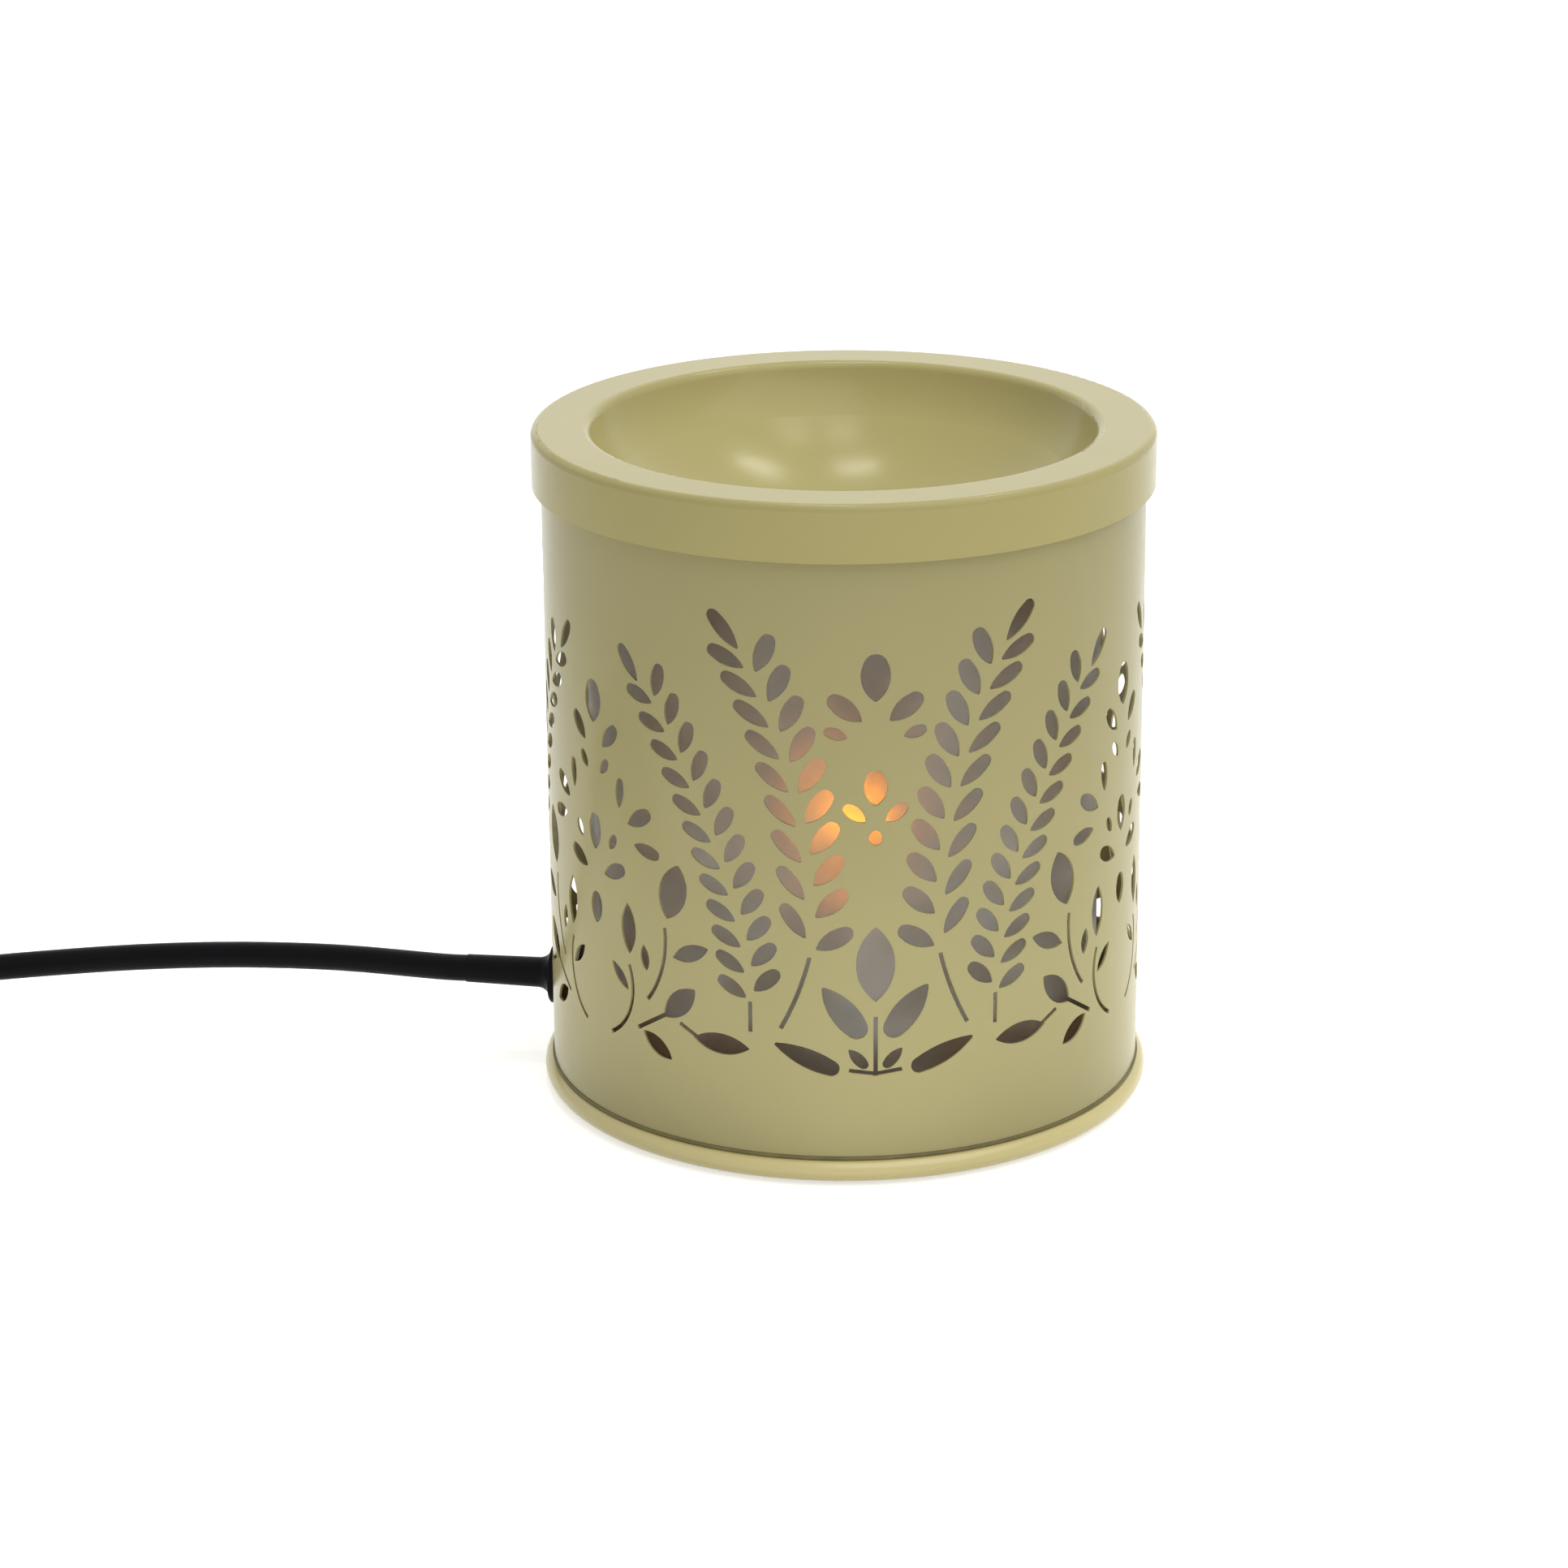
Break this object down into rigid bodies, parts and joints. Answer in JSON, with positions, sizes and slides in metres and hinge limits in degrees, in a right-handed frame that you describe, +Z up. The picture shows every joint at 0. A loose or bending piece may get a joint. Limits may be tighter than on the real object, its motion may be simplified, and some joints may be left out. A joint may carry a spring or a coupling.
{
  "type": "electric wax warmer",
  "caption": "A small electric wax warmer: a pierced sage-painted metal can with a lamp inside a frosted tube, a lift-off dish on top and a black cord.",
  "frame": {"origin": "on the table, under the axis of the can", "axes": "+Z up along the axis of the can, -Y to the front, +X to the right as seen from the front; the cord leaves towards -X"},
  "size_m": [0.352, 0.141, 0.1265],
  "materials": {
    "sage_paint": "satin",
    "frosted_sheet": "frosted",
    "foot_rubber": "matte",
    "zinc_steel": "satin",
    "white_ceramic": "satin",
    "brass": "satin",
    "lamp_glass": "clear",
    "cap_metal": "satin",
    "black_insulator": "gloss",
    "hot_wire": "glowing",
    "black_cord": "satin",
    "black_case": "satin",
    "blue_lead": "satin",
    "brown_lead": "satin",
    "tie_plastic": "matte"
  },
  "bodies": {
    "body": {"pierced_can": "sage_paint", "diffuser": "frosted_sheet", "base_pan": "sage_paint", "feet": "foot_rubber", "holder_strap": "zinc_steel", "strap_screws": "zinc_steel", "strap_nuts": "zinc_steel", "holder_rivet": "zinc_steel", "lamp_holder": "white_ceramic", "holder_shell": "brass", "holder_contact": "brass", "terminal_screws": "brass", "cord_gland": "black_case", "gland_nut": "zinc_steel", "cord_inner": "black_cord", "lead_left": "blue_lead", "lead_right": "brown_lead", "cord_lead": "black_cord", "switch_base": "black_case", "switch_cover": "black_case", "switch_screws": "zinc_steel", "cord_feed": "black_cord", "cord_coil": "black_cord", "coil_tie": "tie_plastic", "cord_tail": "black_cord", "plug_body": "black_case", "plug_blades": "brass"},
    "dish": {"wax_dish": "sage_paint"},
    "lamp": {"lamp_glass": "lamp_glass", "lamp_cap": "cap_metal", "lamp_insulator": "black_insulator", "lamp_contact": "cap_metal", "lamp_stem": "lamp_glass", "lamp_wires": "zinc_steel", "lamp_filament": "hot_wire"},
    "wheel": {"switch_wheel": "black_case"}
  },
  "joints": [
    {"name": "dish_lift", "type": "slide", "parent": "body", "child": "dish", "axis": [0, 0, 1], "range_m": [0, 0.04]},
    {"name": "lamp_out", "type": "slide", "parent": "body", "child": "lamp", "axis": [0, 0, 1], "range_m": [0, 0.022]},
    {"name": "wheel_turn", "type": "hinge", "parent": "body", "child": "wheel", "pos_m": [-0.232, 0.025, 0.008], "axis": [0, 0, 1], "continuous": true}
  ]
}
